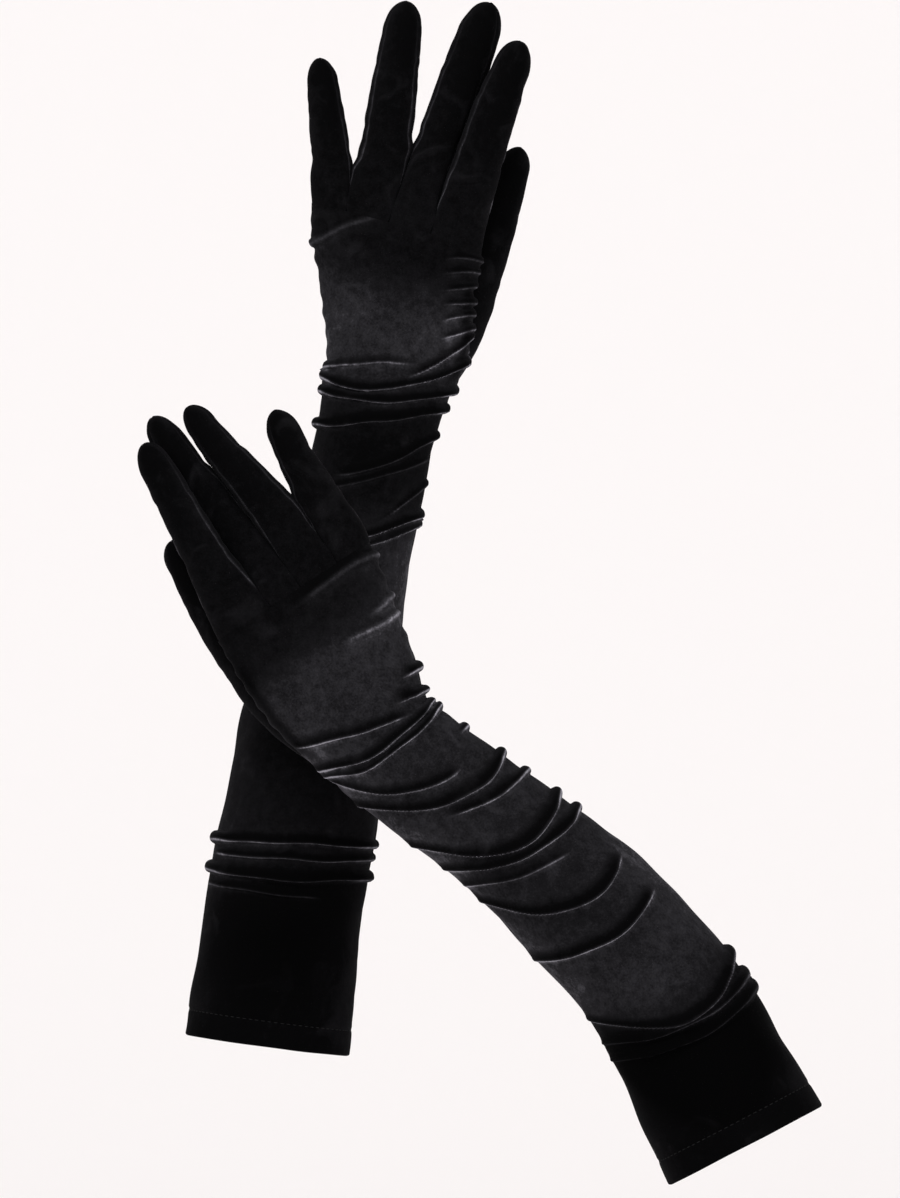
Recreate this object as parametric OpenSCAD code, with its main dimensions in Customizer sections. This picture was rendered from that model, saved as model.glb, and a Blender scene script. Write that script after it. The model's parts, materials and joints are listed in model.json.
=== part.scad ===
// A pair of long stretch-velvet opera gloves in their worn shape, with the forearms crossed.
// Both backs of the hands face -Y. +Z is up and +X is to the right.
// The origin is the centre of the left glove's arm opening.
// Each glove is a chain of rigid pieces: upper sleeve, forearm, hand, thumb and four fingers.

/* [Fabric] */
// Thickness of one layer of pile fabric
fabric = 1.2; // [0.8:0.1:1.6]
// Thickness of the turned-in hem, two layers and the turning
hem_wall = 2.2; // [1.6:0.2:3]
// Depth of the hem, from the edge to its stitching
hem_depth = 12; // [8:1:18]
// Radius of the hem's thread ring
thread_r = 0.4; // [0.3:0.05:0.5]
// Half of the gap, in degrees round the arm, that the panels leave for a side seam
seam_gap_deg = 2; // [1.8:0.1:2.4]
// Half of the seam's own width, in degrees round the arm
seam_deg = 1.3; // [0.8:0.1:1.4]
// How far a seam allowance stands inwards
seam_depth = 4; // [2:0.5:6]

/* [Arm] */
// Outer radius of the arm opening
opening_r = 39.2; // [38:0.2:42]
// Half width of the arm at the elbow
elbow_r = 36.4; // [34:0.2:38]
// Half width of the wrist
wrist_w = 28; // [26:0.5:30]
// Half depth of the wrist, palm to back
wrist_d = 21; // [19:0.5:23]
// Length of gathered fabric on each side of the elbow
elbow_reach = 24; // [24:1:28]
// Length of gathered fabric on each side of the wrist
wrist_reach = 18; // [16:1:20]
// Height of the gathers' folds
fold_h = 1.8; // [0.5:0.1:2.5]

/* [Hand] */
// Half depth of the hand at the knuckles
hand_d = 13.5; // [12.5:0.5:15]
// Distance from the wrist to the line of the finger roots
web_line = 84; // [82:1:88]
// Radius of the thumb at its root
thumb_r = 9.6; // [9:0.1:9.8]
// Length of the thumb from its root to the tip
thumb_len = 88; // [80:1:94]
// Lean of the thumb away from the hand, in degrees
thumb_lean = 6; // [6:1:10]

/* [Left glove] */
// Length of the left upper sleeve, hem to elbow
left_sleeve_len = 90; // [86:1:100]
// Length of the left forearm, elbow to wrist
left_forearm_len = 225; // [210:1:240]
// Tilt of the left upper sleeve from upright, in degrees
left_sleeve_tilt = 7.5; // [5:0.5:10]
// Tilt of the left forearm from upright, in degrees
left_forearm_tilt = 11.2; // [9:0.2:13]
// Tilt of the left hand from upright, in degrees
left_hand_tilt = 15; // [12:0.5:18]

/* [Right glove] */
// Distance of the right glove in front of the left one
front = 115; // [115:1:140]
// Right arm opening, distance to the right of the left one
right_x = 221; // [216:1:226]
// Right arm opening, height over the left one
right_z = -40; // [-45:1:-35]
// Length of the right upper sleeve, hem to elbow
right_sleeve_len = 74; // [72:1:80]
// Length of the right forearm, elbow to wrist
right_forearm_len = 183; // [175:1:195]
// Tilt of the right upper sleeve from upright, in degrees
right_sleeve_tilt = -27.5; // [-30:0.5:-24]
// Tilt of the right forearm from upright, in degrees
right_forearm_tilt = -48; // [-50:0.5:-45]
// Tilt of the right hand from upright, in degrees
right_hand_tilt = -33.5; // [-36:0.5:-31]

/* [Hidden] */
velvet = "#17151a";
thread = "#0c0b0e";

// Which glove: the hand frame has the thumb at +X on the left glove and is mirrored for the right.
L = 0;
R = 1;
sleeve_len = [left_sleeve_len, right_sleeve_len];
forearm_len = [left_forearm_len, right_forearm_len];
sleeve_tilt = [left_sleeve_tilt, right_sleeve_tilt];
forearm_tilt = [left_forearm_tilt, right_forearm_tilt];
hand_tilt = [left_hand_tilt, right_hand_tilt];

function along(tilt, length) = [length * sin(tilt), 0, length * cos(tilt)];
hem_at = [[0, 0, 0], [right_x, -front, right_z]];
elbow_at = [for (g = [L, R]) hem_at[g] + along(sleeve_tilt[g], sleeve_len[g])];
wrist_at = [for (g = [L, R]) elbow_at[g] + along(forearm_tilt[g], forearm_len[g])];

// Gaps between pieces that meet end to end, and at the finger roots.
end_gap = 0.3;
back_gap = 1.5;
side_gap = 4;
palm_gap = 8;
palm_end = 5;

// Half arcs of the panels round the limb: 0 is the thumb side, 180 the little-finger side.
BACK = [180 + seam_gap_deg, 360 - seam_gap_deg];
UNDER = [seam_gap_deg, 180 - seam_gap_deg];
arm_steps = 12;
// Corners of the hand's section are squarer than an ellipse's.
hand_power = 2.6;
round_power = 2;

// Sections of the hand, in the hand's frame: distance from the wrist, offset across, half width, half depth.
hand_sections = [
    [[22, -1, 33, 19.5], [40, -5, 35.5, 17.5], [60, -10.5, 38, 15.5], [78, -14, 41, 13.8]],
    [[22, 0, 32, 19.5], [40, -4, 35, 17.5], [60, -8, 36.5, 15.5], [78, -10, 37.5, 13.8]]
];

// Fingers in the hand's frame: offset across, lean in degrees, length, radius at the root and at the tip.
INDEX = 0;
MIDDLE = 1;
RING = 2;
LITTLE = 3;
fingers = [
    [[16.6, 2, 86, 8.8, 7.6], [-7.8, 3.8, 100, 8.8, 7.6], [-27, -7, 92, 8.6, 7.4], [-49, -22, 60, 7.7, 6.6]],
    [[16.5, -0.7, 84, 8.8, 7.4], [-1.7, 1.2, 93, 8.8, 7.4], [-20.2, 3.6, 89, 8.6, 7.4], [-39, -3.4, 65, 7.7, 6.6]]
];

// Strips round a finger: the back and palm pieces stop at a fourchette, or meet at the outer edge.
strip_gap = 2;
side_strip = 30;
OUTER_SIDE = [-side_strip + strip_gap, side_strip - strip_gap];
INNER_SIDE = [180 - side_strip + strip_gap, 180 + side_strip - strip_gap];
finger_steps = 5;
side_steps = 2;

thumb_root = [31, 20, 36];
thumb_tip_r = 8.4;
tip_steps = [0, 25, 50, 72, 90];
tip_point_r = 0.3;

// A section is [height, x, y, half width, half depth, tilt].
function edge(a, power) = [sign(cos(a)) * pow(abs(cos(a)), 2 / power), sign(sin(a)) * pow(abs(sin(a)), 2 / power)];
function on_section(s, a, power) = let (e = edge(a, power))
    [s[1] + s[3] * e[0] * cos(s[5]), s[2] + s[4] * e[1], s[0] - s[3] * e[0] * sin(s[5])];
function inset(sections, depth) = [for (s = sections) [s[0], s[1], s[2], s[3] - depth, s[4] - depth, s[5]]];
function two(a, b, c, d) = [[a, b, c], [a, c, d]];

// A wall between an outer and an inner list of sections, over an arc in degrees or all the way round.
module wall_of(outer, inner, arc, steps, power) {
    closed = arc[1] - arc[0] >= 360;
    row = closed ? steps : steps + 1;
    last = len(outer) - 1;
    points = [for (k = [0:last], s = [outer[k], inner[k]], i = [0:row - 1])
        on_section(s, arc[0] + (arc[1] - arc[0]) * i / steps, power)];
    function o(k, i) = k * 2 * row + i % row;
    function n(k, i) = o(k, i) + row;
    skins = [for (k = [0:last - 1], i = [0:steps - 1]) each concat(
        two(o(k, i), o(k + 1, i), o(k + 1, i + 1), o(k, i + 1)),
        two(n(k, i), n(k, i + 1), n(k + 1, i + 1), n(k + 1, i)))];
    ends = [for (i = [0:steps - 1]) each concat(
        two(o(0, i), o(0, i + 1), n(0, i + 1), n(0, i)),
        two(o(last, i), n(last, i), n(last, i + 1), o(last, i + 1)))];
    sides = closed ? [] : [for (k = [0:last - 1]) each concat(
        two(n(k, 0), n(k + 1, 0), o(k + 1, 0), o(k, 0)),
        two(o(k, steps), o(k + 1, steps), n(k + 1, steps), n(k, steps)))];
    polyhedron(points, concat(skins, ends, sides));
}

module arm_panel(sections, arc, power = round_power)
    color(velvet) wall_of(sections, inset(sections, fabric), arc, arm_steps, power);

// Both side seams of a sleeve, forearm or hand: narrow allowances that stand inwards.
module side_seams(sections, power = round_power)
    color(velvet)
        for (middle = [0, 180])
            wall_of(sections, inset(sections, seam_depth), [middle - seam_deg, middle + seam_deg], 1, power);

// Frames of the three long pieces of a glove.
module at_sleeve(g) translate(hem_at[g]) rotate([0, sleeve_tilt[g], 0]) children();
module at_forearm(g) translate(elbow_at[g]) rotate([0, forearm_tilt[g], 0]) children();
module at_hand(g) translate(wrist_at[g]) rotate([0, hand_tilt[g], 0]) mirror([g, 0, 0]) children();

// Upper sleeve, from the hem's stitching to the elbow's gathers.
function sleeve_sections(g) = let (
        z0 = hem_depth + 3 * thread_r + 2 * end_gap,
        z1 = sleeve_len[g] - elbow_reach - end_gap)
    [for (t = [0, 0.35, 0.7, 1]) let (r = opening_r - 0.6 + (elbow_r + 0.4 - opening_r) * t)
        [z0 + (z1 - z0) * t, 0, 0, r, r, 0]];

module hem_fold(g)
    color(velvet) at_sleeve(g) difference() {
        cylinder(r = opening_r, h = hem_depth, $fn = 96);
        translate([0, 0, -1]) cylinder(r = opening_r - hem_wall, h = hem_depth + 2, $fn = 96);
    }

module hem_stitch(g)
    color(thread) at_sleeve(g)
        translate([0, 0, hem_depth + end_gap + thread_r])
            rotate_extrude($fn = 96) translate([opening_r - fabric / 2 - thread_r, 0]) circle(r = thread_r, $fn = 24);

module sleeve_panel(g, arc) at_sleeve(g) arm_panel(sleeve_sections(g), arc);
module sleeve_seams(g) at_sleeve(g) side_seams(sleeve_sections(g));

// A length of gathered fabric between two limbs at a joint, in the lower limb's frame.
function gathers(length, reach, tilt, w0, w1, d0, d1, folds) =
    [for (i = [0:folds * 4]) let (
            t = i / (folds * 4),
            s = (reach - end_gap) * (2 * t - 1),
            way = s > 0 ? along(tilt, s) : [0, 0, s],
            out = fold_h * (1 - cos(360 * folds * t)) / 2)
        [length + way[2], way[0], 0, w0 + (w1 - w0) * t + out, d0 + (d1 - d0) * t + out, tilt * t]];

gather_steps = 24;
module gathered(sections, power = round_power)
    color(velvet) wall_of(sections, inset(sections, fabric), [0, 360], gather_steps, power);

module elbow_gathers(g)
    at_sleeve(g) gathered(gathers(sleeve_len[g], elbow_reach, forearm_tilt[g] - sleeve_tilt[g],
        elbow_r, elbow_r - 0.6, elbow_r, elbow_r - 0.8, 3));

// The forearm narrows from a round section at the elbow to an oval wrist.
function forearm_sections(g) = let (z0 = elbow_reach + end_gap, z1 = forearm_len[g] - wrist_reach - end_gap)
    [for (t = [0, 0.15, 0.35, 0.55, 0.75, 0.9, 1]) let (e = t * t * (3 - 2 * t))
        [z0 + (z1 - z0) * t, 0, 0,
            elbow_r - 0.4 + (wrist_w - elbow_r + 0.4) * e,
            elbow_r - 0.8 + (wrist_d - elbow_r + 0.8) * e, 0]];

module forearm_panel(g, arc) at_forearm(g) arm_panel(forearm_sections(g), arc);
module forearm_seams(g) at_forearm(g) side_seams(forearm_sections(g));

module wrist_gathers(g)
    at_forearm(g) gathered(gathers(forearm_len[g], wrist_reach, hand_tilt[g] - forearm_tilt[g],
        wrist_w - 0.2, wrist_w + 2.5, wrist_d - 0.2, wrist_d - 2, 3));

// Hand, from the wrist's gathers to just short of the finger roots.
function hand_rows(g, stop) = let (
        rows = hand_sections[g],
        first = rows[0],
        end = rows[len(rows) - 1])
    concat(
        [[wrist_reach + 2 * end_gap, first[1], 0, first[2] - 1, first[3], 0]],
        [for (r = rows) [r[0], r[1], 0, r[2], r[3], 0]],
        [[web_line - stop, end[1] - 0.5, 0, end[2] + 0.5, hand_d, 0]]);

module hand_back(g) at_hand(g) arm_panel(hand_rows(g, back_gap), BACK, hand_power);
module hand_palm(g) at_hand(g) arm_panel(hand_rows(g, palm_end), UNDER, hand_power);
module hand_seams(g) at_hand(g) side_seams(hand_rows(g, palm_end), hand_power);

// A finger's tube from a start above its root to its rounded tip.
function finger_rows(from, length, r0, r1) = concat(
    [for (t = [0, 0.5]) let (r = r0 + (r1 - r0) * t) [from + (length - r1 - from) * t, 0, 0, r, r, 0]],
    [for (a = tip_steps) let (r = max(r1 * cos(a), tip_point_r)) [length - r1 + r1 * sin(a), 0, 0, r, r, 0]]);

module finger_strip(from, length, r0, r1, arc, steps)
    color(velvet) wall_of(
        finger_rows(from, length, r0, r1),
        finger_rows(from, length - fabric, r0 - fabric, r1 - fabric),
        arc, steps, round_power);

module at_finger(g, f) at_hand(g)
    translate([fingers[g][f][0], 0, web_line]) rotate([0, fingers[g][f][1], 0]) children();

module finger_piece(g, f, from, arc, steps)
    at_finger(g, f) finger_strip(from, fingers[g][f][2], fingers[g][f][3], fingers[g][f][4], arc, steps);

// The index finger's back and palm meet at its thumb side, and the little finger's at its outer side.
function outer_edge(f) = f == INDEX ? 1 : side_strip;
function inner_edge(f) = f == LITTLE ? 1 : side_strip;

module finger_back(g, f)
    finger_piece(g, f, back_gap, [180 + inner_edge(f), 360 - outer_edge(f)], finger_steps);
module finger_palm(g, f)
    finger_piece(g, f, palm_gap, [outer_edge(f), 180 - inner_edge(f)], finger_steps);
module thumb_side_fourchette(g, f) finger_piece(g, f, side_gap, OUTER_SIDE, side_steps);
module little_side_fourchette(g, f) finger_piece(g, f, side_gap, INNER_SIDE, side_steps);

// The thumb lies on the palm side of the hand's edge.
module thumb_piece(g, arc)
    at_hand(g) translate([thumb_root[0], thumb_root[1], thumb_root[2]]) rotate([0, thumb_lean, 0])
        finger_strip(2, thumb_len, thumb_r, thumb_tip_r, arc, finger_steps + 2);
module thumb_back(g) thumb_piece(g, [180 + strip_gap, 360 - strip_gap]);
module thumb_front(g) thumb_piece(g, [strip_gap, 180 - strip_gap]);

PIECES = [
    "hem_fold", "hem_stitch", "upper_back", "upper_under", "upper_seams", "elbow_gathers",
    "forearm_back", "forearm_under", "forearm_seams", "wrist_gathers",
    "hand_back", "hand_palm", "hand_seams",
    "index_back", "index_palm", "index_fourchette",
    "middle_back", "middle_palm", "middle_outer_fourchette", "middle_inner_fourchette",
    "ring_back", "ring_palm", "ring_outer_fourchette", "ring_inner_fourchette",
    "little_back", "little_palm", "little_fourchette",
    "thumb_back", "thumb_front"
];
GLOVES = ["left_", "right_"];

module glove_piece(g, piece) {
    if (piece == "hem_fold") hem_fold(g);
    if (piece == "hem_stitch") hem_stitch(g);
    if (piece == "upper_back") sleeve_panel(g, BACK);
    if (piece == "upper_under") sleeve_panel(g, UNDER);
    if (piece == "upper_seams") sleeve_seams(g);
    if (piece == "elbow_gathers") elbow_gathers(g);
    if (piece == "forearm_back") forearm_panel(g, BACK);
    if (piece == "forearm_under") forearm_panel(g, UNDER);
    if (piece == "forearm_seams") forearm_seams(g);
    if (piece == "wrist_gathers") wrist_gathers(g);
    if (piece == "hand_back") hand_back(g);
    if (piece == "hand_palm") hand_palm(g);
    if (piece == "hand_seams") hand_seams(g);
    if (piece == "index_back") finger_back(g, INDEX);
    if (piece == "index_palm") finger_palm(g, INDEX);
    if (piece == "index_fourchette") little_side_fourchette(g, INDEX);
    if (piece == "middle_back") finger_back(g, MIDDLE);
    if (piece == "middle_palm") finger_palm(g, MIDDLE);
    if (piece == "middle_outer_fourchette") thumb_side_fourchette(g, MIDDLE);
    if (piece == "middle_inner_fourchette") little_side_fourchette(g, MIDDLE);
    if (piece == "ring_back") finger_back(g, RING);
    if (piece == "ring_palm") finger_palm(g, RING);
    if (piece == "ring_outer_fourchette") thumb_side_fourchette(g, RING);
    if (piece == "ring_inner_fourchette") little_side_fourchette(g, RING);
    if (piece == "little_back") finger_back(g, LITTLE);
    if (piece == "little_palm") finger_palm(g, LITTLE);
    if (piece == "little_fourchette") thumb_side_fourchette(g, LITTLE);
    if (piece == "thumb_back") thumb_back(g);
    if (piece == "thumb_front") thumb_front(g);
}

for (g = [L, R], piece = PIECES)
    glove_piece(g, piece);
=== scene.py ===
"""A pair of black stretch-velvet opera gloves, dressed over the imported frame.

Each glove is drawn as smooth tubes in millimetres: a trunk from the hem to the knuckles, four fingers
and a thumb. The tubes are cut along their seams and at the joints into the pieces of the frame.
A place on the trunk is (s, a): s is the distance from the hem along the arm and a is the angle round
it, with 0 at the thumb side, 90 at the palm, 180 at the little-finger side and 270 at the back.
"""
import json
import math

import bmesh
import bpy
import numpy as np
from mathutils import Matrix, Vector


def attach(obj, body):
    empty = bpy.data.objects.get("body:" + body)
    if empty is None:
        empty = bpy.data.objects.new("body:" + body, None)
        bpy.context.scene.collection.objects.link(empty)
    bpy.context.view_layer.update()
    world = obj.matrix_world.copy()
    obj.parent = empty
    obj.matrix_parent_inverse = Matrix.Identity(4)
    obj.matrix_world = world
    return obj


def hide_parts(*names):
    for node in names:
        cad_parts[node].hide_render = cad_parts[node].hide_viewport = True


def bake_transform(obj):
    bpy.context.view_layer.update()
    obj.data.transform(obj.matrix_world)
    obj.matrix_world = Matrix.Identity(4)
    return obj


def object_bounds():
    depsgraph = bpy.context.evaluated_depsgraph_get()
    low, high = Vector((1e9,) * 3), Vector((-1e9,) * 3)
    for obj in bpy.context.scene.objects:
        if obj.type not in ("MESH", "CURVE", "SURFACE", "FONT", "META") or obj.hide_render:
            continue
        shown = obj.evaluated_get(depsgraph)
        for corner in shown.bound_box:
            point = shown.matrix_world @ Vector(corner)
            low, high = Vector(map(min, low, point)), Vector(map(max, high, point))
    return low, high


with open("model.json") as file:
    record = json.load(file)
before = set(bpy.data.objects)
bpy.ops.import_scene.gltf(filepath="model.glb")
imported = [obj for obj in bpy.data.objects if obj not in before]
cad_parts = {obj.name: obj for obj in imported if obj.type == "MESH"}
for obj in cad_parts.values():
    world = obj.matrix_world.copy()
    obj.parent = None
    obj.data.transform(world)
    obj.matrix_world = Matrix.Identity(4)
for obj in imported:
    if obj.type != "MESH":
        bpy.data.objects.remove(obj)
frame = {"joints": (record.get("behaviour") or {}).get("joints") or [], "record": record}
CAD_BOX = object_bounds()
JOINTS = {j["name"]: j for j in frame["joints"]}
MOUNTS = {m["name"]: m for m in frame["record"]["mounts"]}
MM = 0.001
# The way the palms face.
PALM = np.array([0.0, 1.0, 0.0])

# Thickness of the trunk's velvet and of the fingers', in millimetres.
CLOTH = 0.9
FINGER_CLOTH = 0.8
# The turned-in arm edge: from the edge to its stitching, and its double thickness.
HEM_DEPTH = 12.0
HEM_THICK = 2.2
# Hem stitches: from one to the next, length and thread radius.
STITCH_PITCH, STITCH_LENGTH, THREAD_RADIUS = 3.0, 2.1, 0.22
# How far a seam allowance stands inwards, and its thickness.
ALLOWANCE, ALLOWANCE_THICK = 4.0, 0.4
# From the wrist to the knuckles, where the fingers join on.
KNUCKLES = 74.0
# The gathers reach this far to both sides of a joint.
ELBOW_REACH = 24.0
WRIST_REACH = 18.0


# -------- small helpers

def smooth(t):
    """Smooth step from 0 to 1."""
    t = np.clip(t, 0.0, 1.0)
    return t * t * (3 - 2 * t)


def through(rows, x):
    """Every column of rows as a smooth curve over the first one, read at x."""
    rows = np.array(rows, float)
    xs, ys = rows[:, 0], rows[:, 1:]
    slopes = np.gradient(ys, xs, axis=0)
    x = np.clip(np.atleast_1d(x), xs[0], xs[-1])
    k = np.clip(np.searchsorted(xs, x, side="right") - 1, 0, len(xs) - 2)
    h = (xs[k + 1] - xs[k])[:, None]
    t = (x - xs[k])[:, None] / h
    return (
        (2 * t**3 - 3 * t**2 + 1) * ys[k]
        + (t**3 - 2 * t**2 + t) * h * slopes[k]
        + (3 * t**2 - 2 * t**3) * ys[k + 1]
        + (t**3 - t**2) * h * slopes[k + 1]
    )


def bell(x, width=1.0):
    """1 in the middle, fading out at about twice the width."""
    return np.exp(-((x / width) ** 2))


def degrees_from(a, middle):
    """How far a lies from middle, between -180 and 180."""
    return (a - middle + 180) % 360 - 180


def waves(seed, count, longest, shortest):
    """A smooth random field over two millimetre coordinates, between about -1 and 1."""
    rng = np.random.default_rng(seed)
    lengths = np.exp(rng.uniform(math.log(shortest), math.log(longest), count))
    turns = rng.uniform(0, 2 * math.pi, (count, 2))

    def field(x, y):
        total = 0.0
        for length, (way, phase) in zip(lengths, turns):
            along = x * math.cos(way) + y * math.sin(way)
            total = total + np.sin(2 * math.pi / length * along + phase)
        return total / math.sqrt(count)

    return field


def grid_normals(points, closed):
    """Outward normals of a grid of points: rows run along the limb, columns round it."""
    along = np.gradient(points, axis=0)
    if closed:
        round_it = (np.roll(points, -1, axis=1) - np.roll(points, 1, axis=1)) / 2
    else:
        round_it = np.gradient(points, axis=1)
    normals = np.cross(round_it, along)
    length = np.linalg.norm(normals, axis=2, keepdims=True)
    return normals / np.maximum(length, 1e-9)


def grid_quads(index):
    """Faces between the neighbours in a grid of point numbers."""
    corners = [index[:-1, :-1], index[:-1, 1:], index[1:, 1:], index[1:, :-1]]
    return np.stack(corners, axis=-1).reshape(-1, 4)


# -------- the two gloves

# Trunk sections: distance from the hem, half width, offset to the thumb side, depth to the back,
# depth to the palm, squareness of the section.
ARM = {
    "left": [
        (0, 39.2, 0, 38.4, 38.4, 2.0), (30, 37.9, -0.2, 37.4, 37.4, 2.0),
        (60, 36.9, -0.7, 36.6, 36.6, 2.0), (90, 37.0, 0, 36.4, 36.4, 2.0),
        (114, 36.0, 0.2, 35.6, 35.6, 2.0), (155, 35.2, -0.6, 34, 34, 2.0),
        (210, 31.0, -1.2, 29, 29, 2.05), (240, 29.0, -1.2, 26, 26, 2.1), (265, 28.4, 0, 24, 24, 2.1),
        (286, 27.4, 0.2, 22, 22, 2.2),
    ],
    "right": [
        (0, 39.4, 0, 38.4, 38.4, 2.0), (20, 38.4, 0, 37.8, 37.8, 2.0),
        (45, 37.0, -0.3, 36.8, 36.8, 2.0), (74, 35.6, -1.4, 36.4, 36.4, 2.0),
        (92, 34.7, -3.7, 35.4, 35.4, 2.0), (110, 34.0, -6.0, 34, 34, 2.0),
        (138, 33.0, -7.6, 31.5, 31.5, 2.0), (165, 30.2, -7.9, 28.5, 28.5, 2.05),
        (190, 29.1, -6.7, 25.5, 25.5, 2.1), (220, 28.8, -3.7, 22.5, 22.5, 2.15),
        (240, 28.8, -2.2, 21.5, 21.5, 2.2),
    ],
}
# Hand sections, with the same columns, but the distance is from the wrist.
HAND = {
    "left": [
        (-12, 28.4, 0.6, 20.8, 20.8, 2.2), (2, 29.9, 1.2, 19.8, 20.5, 2.3),
        (12, 32.4, 1.0, 18.4, 20.3, 2.35), (26, 35.6, -1.5, 17.0, 20.0, 2.4),
        (40, 37.2, -5.6, 15.6, 19.0, 2.5), (57, 39.6, -10.6, 14.2, 16.8, 2.6),
        (KNUCKLES, 41.4, -14.0, 13.0, 14.4, 2.7),
    ],
    "right": [
        (-6, 28.8, -0.8, 20.6, 20.6, 2.2), (4, 30.8, -0.4, 19.6, 20.3, 2.3),
        (14, 33.6, -0.6, 18.2, 20.2, 2.35), (25, 36.4, -1.0, 17.0, 20.0, 2.4),
        (40, 38.6, -2.2, 15.6, 19.0, 2.5), (57, 40.2, -4.2, 14.2, 16.8, 2.6),
        (KNUCKLES, 41.4, -6.2, 13.0, 14.4, 2.7),
    ],
}
# The lines between the fingers, from the index side: across to the thumb side at the knuckles, then the
# distance from the wrist and the place across where the two fingers part.
PARTINGS = {
    "left": [(2.4, 102, 3.0), (-18.0, 109, -16.7), (-38.5, 92, -41.0)],
    "right": [(6.6, 100, 8.8), (-9.5, 110, -8.5), (-29.5, 107, -29.2)],
}
FINGERS = ("index", "middle", "ring", "little")
# Finger sections in the hand's frame: distance from the wrist, across to the thumb side, depth towards
# the palm, half width and half depth. The rounded tip starts at the last row.
FINGER = {
    "left": {
        "index": [
            (93, 15.0, -2.5, 12.0, 10.8), (110, 15.2, -4.4, 11.6, 10.2), (135, 16.3, -4.6, 10.8, 9.6),
            (157, 18.4, -2.0, 9.1, 8.6),
        ],
        "middle": [
            (93, -6.8, 1.2, 10.0, 10.4), (118, -4.8, 3.4, 10.8, 9.8), (142, -3.0, 5.4, 10.9, 9.4),
            (169.5, -0.6, 7.0, 10.1, 9.2),
        ],
        "ring": [
            (93, -28.5, 0, 11.3, 10.6), (112, -29.3, 0, 11.6, 10.4), (135, -32.0, 1.5, 11.0, 9.7),
            (161.5, -35.2, 4.6, 9.3, 8.6),
        ],
        "little": [
            (92, -51.0, 0, 9.3, 9.3), (110, -57.4, 0.5, 8.8, 8.6), (120, -61.2, 1.4, 8.1, 7.9),
            (129, -65.0, 2.4, 7.3, 7.1),
        ],
    },
    "right": {
        "index": [
            (92, 20.4, -3.0, 12.2, 10.4), (110, 19.0, -6.4, 10.4, 9.8), (135, 16.8, -7.6, 8.9, 8.8),
            (154, 15.2, -5.5, 8.1, 7.8),
        ],
        "middle": [
            (92, -0.4, 2.0, 9.0, 10.0), (110, 0.8, 5.6, 10.0, 9.2), (128, 2.0, 7.2, 10.0, 8.9),
            (145, 3.8, 8.2, 8.6, 8.4), (163, 4.3, 9.2, 7.7, 7.4),
        ],
        "ring": [
            (92, -19.3, 0, 10.3, 10.2), (110, -18.4, -1.6, 10.6, 9.8), (130, -16.1, -2.6, 9.4, 8.8),
            (148, -13.4, -0.5, 8.0, 7.6), (159, -12.6, 1.0, 7.1, 7.0),
        ],
        "little": [
            (92, -39.2, 0, 9.6, 9.8), (112, -39.4, -0.5, 9.4, 9.0), (125, -40.4, 0.5, 8.4, 8.1),
            (135, -41.8, 1.6, 7.7, 7.3),
        ],
    },
}
# Length of a rounded tip as a multiple of its half width.
TIP_REACH = 1.75
# Thumb sections, as the fingers', from inside the wrist out to the tip.
THUMB = {
    "left": [
        (4, 15, 5, 13.4, 12.5), (22, 21.2, 10.5, 14.2, 14.0), (40, 25.2, 14.5, 14.0, 14.0),
        (59, 27.2, 17.5, 12.8, 12.8), (87, 29.9, 19.5, 10.6, 10.6), (111, 31.4, 18.5, 8.4, 8.4),
    ],
    "right": [
        (4, 16, 5, 13.4, 12.5), (22, 22.8, 10.5, 14.2, 14.0), (40, 27.3, 14.5, 14.2, 14.0),
        (59, 29.7, 17.5, 12.4, 12.8), (87, 31.2, 19.5, 10.0, 10.4), (111, 29.8, 18.5, 7.9, 8.2),
    ],
}

# Folds that run round the trunk: s at the thumb side, at the middle of the back and at the little-finger
# side, the angles where the fold fades in and out, its height and its width.
FOLDS = {
    "left": [
        # elbow
        (100, 97, 91, 160, 400, 2.0, 5.0), (94, 89, 85, 200, 392, 1.5, 4.0),
        (84, 80, 77, 150, 400, 2.4, 5.0), (71, 72, 72, 190, 295, 1.2, 4.0),
        # wrist, from the forearm to the hand
        (253, 234, 215, 276, 395, 1.5, 3.2), (257, 240, 224, 270, 395, 2.0, 4.5),
        (273, 237, 205, 300, 390, 1.3, 4.0), (284, 269, 254, 232, 345, 0.9, 4.5),
        (295, 274, 268, 246, 390, 1.5, 5.0), (310, 297, 290, 140, 388, 2.2, 6.0),
        (319, 307, 305, 140, 388, 1.8, 5.0), (334, 313, 312, 140, 388, 2.0, 4.5),
        (334, 325, 316, 150, 280, 1.0, 4.0),
        # the heel of the thumb, and a pull below the little finger
        (346, 317, 316, 285, 380, 1.6, 5.5), (410, 392, 370, 150, 262, 1.0, 4.5),
    ],
    "right": [
        # elbow
        (66, 56, 60, 150, 395, 2.0, 4.5), (79, 63, 65, 150, 392, 1.9, 4.6),
        (95, 66, 73, 150, 392, 2.2, 5.5),
        # forearm
        (132, 113, 117, 220, 388, 1.9, 6.5), (168, 134, 138, 214, 384, 2.0, 7.0),
        (178, 159, 152, 248, 380, 1.2, 6.0), (191, 167, 164, 150, 388, 2.4, 6.5),
        (208, 173, 175, 150, 392, 2.8, 7.5), (222, 201, 192, 150, 280, 1.6, 6.0),
        (239, 208, 206, 150, 388, 2.4, 7.0), (232, 230, 226, 150, 206, 1.8, 4.0),
        # wrist
        (252, 220, 222, 248, 386, 1.6, 6.5), (255, 244, 243, 150, 400, 2.0, 4.0),
        (258, 249, 248, 150, 400, 2.4, 4.5), (271, 259, 247, 238, 345, 1.5, 5.5),
        (272, 264, 257, 140, 236, 2.6, 7.0), (290, 276, 269, 140, 222, 2.4, 6.5),
        # pulls on the back of the hand
        (303, 298, 296, 172, 256, 0.7, 6.0), (286, 295, 304, 150, 226, 0.7, 5.0),
        (305, 324, 323, 168, 268, 0.9, 8.0),
    ],
}
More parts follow.
